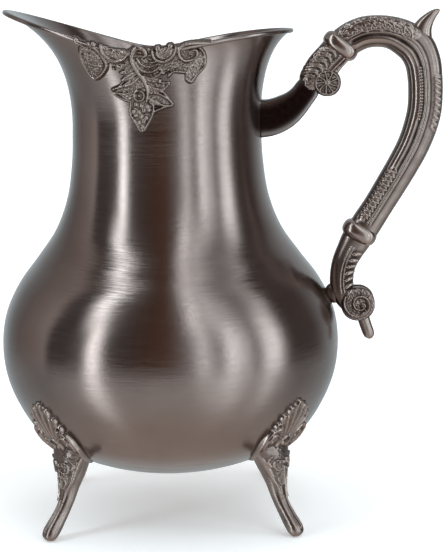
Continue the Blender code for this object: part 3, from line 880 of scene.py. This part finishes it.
def rosette_strokes():
    x, z = ROSETTE_CENTRE
    strokes = [
        (flat, 0.5, ((x, z, 6.3),)),
        ring_stroke(ROSETTE_CENTRE, 5.7, 0.6, 1.6),
        (rounded, 2, ((x, z, 1.5),)),
    ]
    for k in range(9):
        turn = 2 * math.pi * (k + 0.3) / 9
        ray = np.array([math.cos(turn), math.sin(turn)])
        bend = np.array([-ray[1], ray[0]])
        spoke = [
            (x + d * ray[0] + b * bend[0], z + d * ray[1] + b * bend[1], half)
            for d, b, half in ((1.2, 0, 0.5), (3.2, 0.35, 0.55), (5.4, 1.1, 0.8))
        ]
        strokes.append((rounded, 1.6, spoke))
    return strokes


def volute_strokes():
    x, z = VOLUTE_CENTRE
    turns = np.linspace(math.radians(150), math.radians(150 + 600), 40)
    share = (turns - turns[0]) / (turns[-1] - turns[0])
    reach = 7.4 - 5.9 * share**0.9
    spiral = [
        (x + 1.8 * t + r * math.cos(a), z - 0.4 * t + r * math.sin(a), 0.95 - 0.25 * t)
        for a, r, t in zip(turns, reach, share)
    ]
    inner = [(px + 0.18 * (x + 1.5 - px), pz + 0.18 * (z - pz), 0.38) for px, pz, _ in spiral[:26]]
    return [
        (flat, 0.5, ((x, z, 8.1),)),
        (rounded, 1.9, spiral),
        (rounded, 1.2, inner),
        (rounded, 1.9, ((x + 2.5, z - 0.5, 1.5),)),
    ]


def make_handle():
    solid = Solid()
    make_grip(solid)
    add_bulge(solid, (86.6, 236.6), (5.9, 7.6), (4.9, 9.5, 8.3), 2.6)
    add_bulge(solid, (95.9, 143.6), (-3.0, -5.4), (5.2, 9.0, 8.3), 2.6)
    add_sweep(solid, THORN_STATIONS, 60, 40, 2.2)
    add_sweep(solid, TAIL_STATIONS, 40, 32)
    add_drum(solid, ROSETTE_CENTRE, 6.2, 6.6)
    add_faces(solid, ROSETTE_CENTRE, 7, 6.3, rosette_strokes())
    add_drum(solid, VOLUTE_CENTRE, 8.1, 5.2)
    add_faces(solid, VOLUTE_CENTRE, 9, 4.9, volute_strokes())
    add_bulge(solid, (83, 112.6), (4, 1.5), (4.2, 5.2, 3.6), 2.2, relief=0.3)
    return solid.make("cast_scroll_handle", cast_copper, ["handle_scroll"])


BRACKET_STATIONS = (
    (46.4, 201.2, 9.4, 6), (51, 201.6, 9.1, 6), (55.6, 203, 8.7, 6), (60.4, 205.6, 8, 6),
    (64.2, 208.6, 7, 6), (67.4, 212, 6.3, 6), (70.2, 215.8, 6.1, 6), (71.6, 218, 5.6, 5.6),
)


def make_bracket():
    rings, turn = sweep(BRACKET_STATIONS, 90, 120, 7)
    # The relief value here is a painted highlight along the strap's four edges.
    edge = np.abs(np.sin(2 * turn)) ** 14 * 0.8
    solid = Solid()
    solid.add_tube(rings, np.broadcast_to(edge, rings.shape[:2]))
    return solid.make("dark_strap", dark_copper, ["handle_bracket"])


make_handle()
make_bracket()


# -------- feet

LEG_STATIONS = (
    (61, 47.5, 7, 13.2), (62.4, 43.6, 8, 12), (63.4, 40, 8, 10), (64, 36.4, 7.5, 8.4),
    (64.7, 32.6, 6.7, 7.1), (65.4, 28.8, 5.6, 5.8), (66.2, 25, 4.5, 4.7), (67.6, 20, 3.7, 3.9),
    (70.3, 14.6, 3.4, 3.6), (73.6, 9.8, 3.5, 3.8), (76.5, 6, 3.7, 4.1), (78.6, 3.4, 3.5, 4),
    (80, 1.6, 2.6, 3), (80.6, 0.8, 1, 1.2),
)
LEG_LEAN = 1.3  # how far the legs lean to the side, anticlockwise seen from above
FOOT_ANGLES = {"foot_front_right": -38, "foot_front_left": -138, "foot_rear_left": 140, "foot_rear_right": 49}
PLATE_RADIUS = 80  # radius that turns a length across the plate into an angle
PLATE_BASE = 1.5
LOBE_TIPS = ((0, 69.2), (4.9, 66.6), (8.6, 62.6), (11, 58.4))  # (across, up), and mirrored
LOBE_WIDTHS = ((0, 1.2), (0.4, 2), (0.8, 2.6), (0.93, 2.3))  # (share of the length, half width)
PLATE_CELL = 0.22


def both_sides(strokes):
    """The strokes and their mirror images across the middle line."""
    return [
        (profile, top, [(side * across, up, half) for across, up, half in points])
        for side in (-1, 1) for profile, top, points in strokes
    ]


# The palmette's base, its curled boss, and the scrolled wings below its lobes.
PLATE_STROKES = (
    (flat, PLATE_BASE, ((0, 40, 6), (0, 43, 9), (0, 48, 13), (0, 55, 11), (0, 61, 8), (0, 65, 4))),
    (flat, PLATE_BASE, ((-12, 47.6, 4.6), (0, 50, 6), (12, 47.6, 4.6))),
    ring_stroke((0, 47.6), 4.3, 0.7, 3.2),
    (rounded, 3.0, ((0.6, 47.2, 1.6),)),
    (leafy, 3.0, ((0, 44, 1.2), (0, 41.6, 1.6), (0, 39.4, 0.8))),
    *both_sides((
        (rounded, 2.9, ((8.5, 56.6, 0.6), (12.8, 55.8, 0.7), (16, 52, 0.75), (16.8, 47.4, 0.75),
            (15.4, 43.2, 0.7), (13.4, 40.6, 0.6))),
        (rounded, 2.6, ((6, 52.6, 0.5), (10.6, 53, 0.65), (13.4, 50, 0.65), (12.8, 46.4, 0.6),
            (10.2, 46, 0.5))),
        (rounded, 2.6, ((5, 42, 0.5), (8.6, 42.4, 0.6), (9.8, 45, 0.55), (7.6, 46, 0.5))),
        (rounded, 2.7, ((6.4, 43.8, 1.1),)),
        (rounded, 2.5, ((9.8, 49.6, 1.1),)),
    )),
)
# Scrolls and long leaf lines down the front of the knee.
KNEE_STROKES = (
    (rounded, 1.2, ((0, 36.8, 1.1),)),
    (rounded, 1.0, ((0, 34.6, 0.5), (0.3, 30, 0.6), (0, 25, 0.4))),
    (rounded, 0.9, ((0.2, 19, 0.5), (0.2, 12, 0.8), (0.2, 5.4, 0.6))),
    *both_sides((
        (rounded, 1.0, ((11.6, 42.6, 0.6), (8.8, 38, 0.6), (6.4, 32.6, 0.55), (4.6, 28, 0.5),
            (2.4, 23, 0.45), (1.8, 18.6, 0.35))),
        (rounded, 1.1, ((1.2, 33.8, 0.4), (3.6, 33, 0.55), (5.2, 35.4, 0.6), (4.4, 38.2, 0.6),
            (2.5, 38, 0.5), (2.8, 36, 0.4))),
        (rounded, 1.0, ((6.2, 40.6, 0.45), (7.4, 37.6, 0.5), (6.2, 34.8, 0.4))),
        (rounded, 0.9, ((1.1, 31, 0.4), (2.8, 28.6, 0.45), (1.4, 25, 0.4))),
    )),
)


def lobe_strokes():
    """The palmette's hollow lobes, fanned round its middle."""
    lobes = []
    for k, tip in enumerate(np.array(LOBE_TIPS)):
        root = np.array([0.42 * tip[0], 51.5 + 0.1 * k])
        lobes.append((dished, 3.1, [(*(root + (tip - root) * t), half) for t, half in LOBE_WIDTHS]))
    return both_sides(lobes)


def on_body(across, up, height):
    """Points of the body's outside by length across and height z, round the angle 0, raised by a height."""
    angle = across / PLATE_RADIUS
    radius = body_radius(up)
    slope = (body_radius(up + 0.5) - body_radius(up - 0.5))
    length = np.hypot(1, slope)
    reach = radius + height / length
    return polar(reach, angle, up - height * slope / length)


def add_leg(solid):
    rings, turn = sweep(LEG_STATIONS, 260, 120, 2.3)
    outward = unit(rings - rings.mean(axis=1, keepdims=True))
    front = np.broadcast_to(np.clip(np.cos(turn) / 0.35, 0, 1), rings.shape[:2])
    fade = front * np.clip((rings[..., 2] - 1) / 3, 0, 1)
    carved = np.maximum(carve(rings[..., 1], rings[..., 2], KNEE_STROKES), 0) * fade
    knee = np.clip((rings[..., 2] - 22) / 8, 0, 1) * front
    carved = carved + 0.15 * knee * lumps(rings[..., 1], rings[..., 2])
    # Relief sets the colour: darker round the carved lines, painted shade and patina, and a little darker
    # over the front of the knee.
    relief = np.clip(0.52 - 0.08 * knee + 0.5 * (carved - 0.6 * blurred(carved, 5)), 0, 1)
    rings = rings + outward * carved[..., None]
    rings[..., 1] += LEG_LEAN * np.clip((44 - rings[..., 2]) / 14, 0, 1)
    rings[..., 2] = np.maximum(rings[..., 2], 0)
    solid.add_tube(rings, relief)


def make_feet():
    pattern = Solid()
    add_leg(pattern)
    across, up = np.arange(-19, 19, PLATE_CELL), np.arange(36, 73, PLATE_CELL)
    add_casting(pattern, on_body, across, up, [*PLATE_STROKES, *lobe_strokes()])
    shape = [part.copy() for part in pattern.points]
    for node, degrees in FOOT_ANGLES.items():
        cosine, sine = math.cos(math.radians(degrees)), math.sin(math.radians(degrees))
        spin = np.array([[cosine, sine, 0], [-sine, cosine, 0], [0, 0, 1]])
        pattern.points = [part @ spin for part in shape]
        pattern.make("cast_" + node, cast_copper, [node])


make_feet()


# -------- stage, light and camera

FLOOR_RADIUS = 60.0
CAMERA_PLACE = Vector((0.03095, -0.8485, 0.2662))
CAMERA_AIM = Vector((-0.0344, 0.9852, -0.1678))
CAMERA_ROLL = math.radians(0.79)
CAMERA_LENS = 136.6
CAMERA_SENSOR = 36
LAMP_TILT = math.radians(-15)
LAMP_SPREAD = math.radians(120)
LAMP_ENERGY = 1.2
FLOOR_GLOW = 0.3

# The studio round the jug. Directions are in degrees to the right of the camera, as the jug sees it.
# Backdrop: (direction, brightness, warmth from 0 to 1).
BACKDROP = (
    (-180, 0.6, 0), (-150, 0.58, 0), (-136, 0.4, 0), (-122, 0.36, 0.3), (-104, 0.55, 0.3),
    (-92, 0.72, 0.2), (-85, 0.16, 0.2), (-72, 0.17, 0.2), (-62, 0.3, 0.2), (-40, 0.3, 0.1),
    (-30, 0.17, 0.3), (-14, 0.16, 1), (3, 0.2, 1), (11, 0.42, 0.2), (36, 0.7, 0), (62, 0.6, 0),
    (88, 0.5, 0.1), (93, 0.16, 0.3), (120, 0.18, 0.4), (133, 0.42, 0), (146, 0.57, 0), (180, 0.6, 0),
)
# Strip lights: (direction, half width, brightness), as they stand and where they lean in overhead.
STRIPS = ((-50, 3.6, 7.5), (25, 4, 2.1), (45, 2.6, 4.6), (54, 3, 2.1), (71, 2.8, 2.8), (78.5, 4, 3.8))
TOP_STRIPS = ((-58, 6, 6.2), (22, 3.5, 4.2), (37, 4, 2.2), (49, 3, 1.2), (76, 2, 0.3), (84, 4, 1.4))
TOP_STARTS = 0.3  # the height of a direction, as a sine, where the strips begin to lean
TOP_ENDS = 0.75
# The pale table as the metal sees it, with the strips glowing in its polish, and where it begins and ends.
TABLE = (
    (-180, 0.55, 0), (-100, 0.5, 0), (-78, 0.75, 0), (-55, 0.82, 0), (-20, 0.78, 0.05), (20, 0.84, 0.05),
    (60, 0.95, 0), (84, 0.85, 0), (100, 0.5, 0), (180, 0.55, 0),
)
TABLE_STRIPS = ((-51, 6, 3.4), (28, 8, 0.5), (45, 10, 1.2), (74, 5, 1.3))
TABLE_STARTS = -0.17
TABLE_ENDS = -0.25
TABLE_FADES = -0.35  # below this height the strips fade into the table's own glow
TABLE_GLOW = (0.74, 0.74, 0.71)
COOL_WHITE = (0.86, 0.98, 1.03)
STRIP_WHITE = (0.83, 1.03, 1.12)
WARM_WHITE = (1.0, 0.66, 0.52)


def surroundings(backdrop, strips):
    """Directions and colours that draw a backdrop and the strip lights as one line of stops."""
    knots = np.array(backdrop)
    stops = list(knots[:, 0])
    for centre, half, _ in strips:
        stops += [centre + half * step for step in (-1.6, -0.8, 0, 0.8, 1.6)]
    stops = np.array(sorted(stops))
    level = np.interp(stops, knots[:, 0], knots[:, 1])
    warmth = np.interp(stops, knots[:, 0], knots[:, 2])
    glow = sum(brightness * hump(stops, centre, half) for centre, half, brightness in strips)
    tint = np.outer(1 - warmth, COOL_WHITE) + np.outer(warmth, WARM_WHITE)
    return stops, tint * level[:, None] + np.outer(glow, STRIP_WHITE)


def make_floor():
    material, shader = new_material("pale_floor", (0.92, 0.92, 0.92), 0.9)
    grain = ranged(material, scaled_noise(material, (40, 40, 40), 2), 0.0, 1.0)
    fill(material, shader, {
        "Metallic": 0,
        "Specular IOR Level": 0.1,
        "Base Color": mixed(material, grain, (0.915, 0.915, 0.915), (0.925, 0.925, 0.925)),
        "Emission Color": (1, 0.95, 0.93, 1),
        "Emission Strength": FLOOR_GLOW,
    })
    turn = full_turn(96)
    circle = polar(FLOOR_RADIUS, turn, 0 * turn)
    mesh = bpy.data.meshes.new("floor")
    mesh.from_pydata(circle.tolist(), [], [list(range(96))])
    mesh.materials.append(material)
    floor = new_object("floor", mesh)
    floor.visible_glossy = False


def make_ramp(world, share, backdrop, strips):
    """The light by the share of the way round. It takes two ramps, because one holds 32 stops at most."""
    stops, colours = surroundings(backdrop, strips)
    places = (stops + 180) / 360
    half = len(stops) // 2
    ramps = []
    for part in (slice(0, half + 1), slice(half, None)):
        ramp = add_node(world, "ValToRGB", {0: share})
        elements = ramp.color_ramp.elements
        while len(elements) < len(stops[part]):
            elements.new(0.5)
        for element, place, colour in zip(elements, places[part], colours[part]):
            element.position = place
            element.color = (*colour, 1)
        ramps.append(ramp.outputs[0])
    return mixed(world, math_node(world, "GREATER_THAN", share, places[half]), *ramps)


def make_world():
    """The studio as a world: its light goes by the direction round the jug and by its height. Seen directly,
    it is white."""
    world = bpy.data.worlds.new("studio")
    bpy.context.scene.world = world
    world.use_nodes = True
    world.node_tree.nodes.clear()
    place = add_node(world, "TexCoord").outputs["Generated"]
    x, y, z = add_node(world, "SeparateXYZ", {0: place}).outputs
    turn = math_node(world, "ARCTAN2", x, math_node(world, "MULTIPLY", y, -1))
    share = ranged(world, turn, 0.0, 1.0, -math.pi, math.pi)
    walls = make_ramp(world, share, BACKDROP, STRIPS)
    overhead = make_ramp(world, share, BACKDROP, TOP_STRIPS)
    table = make_ramp(world, share, TABLE, TABLE_STRIPS)

    def by_height(bottom, top, below, above):
        """Below and above, mixed smoothly between two heights of the direction."""
        climb = ranged(world, z, 0.0, 1.0, bottom, top, interpolation_type="SMOOTHSTEP")
        return mixed(world, climb, below, above)

    table = by_height(-1.0, TABLE_FADES, TABLE_GLOW, table)
    studio = by_height(TOP_STARTS, TOP_ENDS, walls, overhead)
    light = by_height(TABLE_ENDS, TABLE_STARTS, table, studio)
    seen = add_node(world, "LightPath").outputs["Is Camera Ray"]
    light = mixed(world, seen, light, (1.0, 1.0, 1.0))
    background = add_node(world, "Background", {"Color": light})
    add_node(world, "OutputWorld", {"Surface": background.outputs[0]})


def make_lamp():
    """Broad soft light on the floor. It doesn't show in the metal."""
    data = bpy.data.lights.new("overhead", "SUN")
    data.angle = LAMP_SPREAD
    data.energy = LAMP_ENERGY
    lamp = new_object("overhead", data)
    lamp.rotation_euler = (LAMP_TILT, 0, 0)
    lamp.visible_glossy = False


def make_camera():
    data = bpy.data.cameras.new("view")
    data.sensor_fit = "HORIZONTAL"
    data.sensor_width = CAMERA_SENSOR
    data.lens = CAMERA_LENS
    camera = new_object("view", data)
    forward = CAMERA_AIM.normalized()
    level = forward.cross(Vector((0, 0, 1))).normalized()
    upright = level.cross(forward)
    right = math.cos(CAMERA_ROLL) * level - math.sin(CAMERA_ROLL) * upright
    up = math.sin(CAMERA_ROLL) * level + math.cos(CAMERA_ROLL) * upright
    turn = Matrix((right, up, -forward)).transposed().to_4x4()
    camera.matrix_world = Matrix.Translation(CAMERA_PLACE) @ turn
    bpy.context.scene.camera = camera


make_floor()
make_world()
make_lamp()
make_camera()
bpy.context.scene.view_settings.view_transform = "Standard"
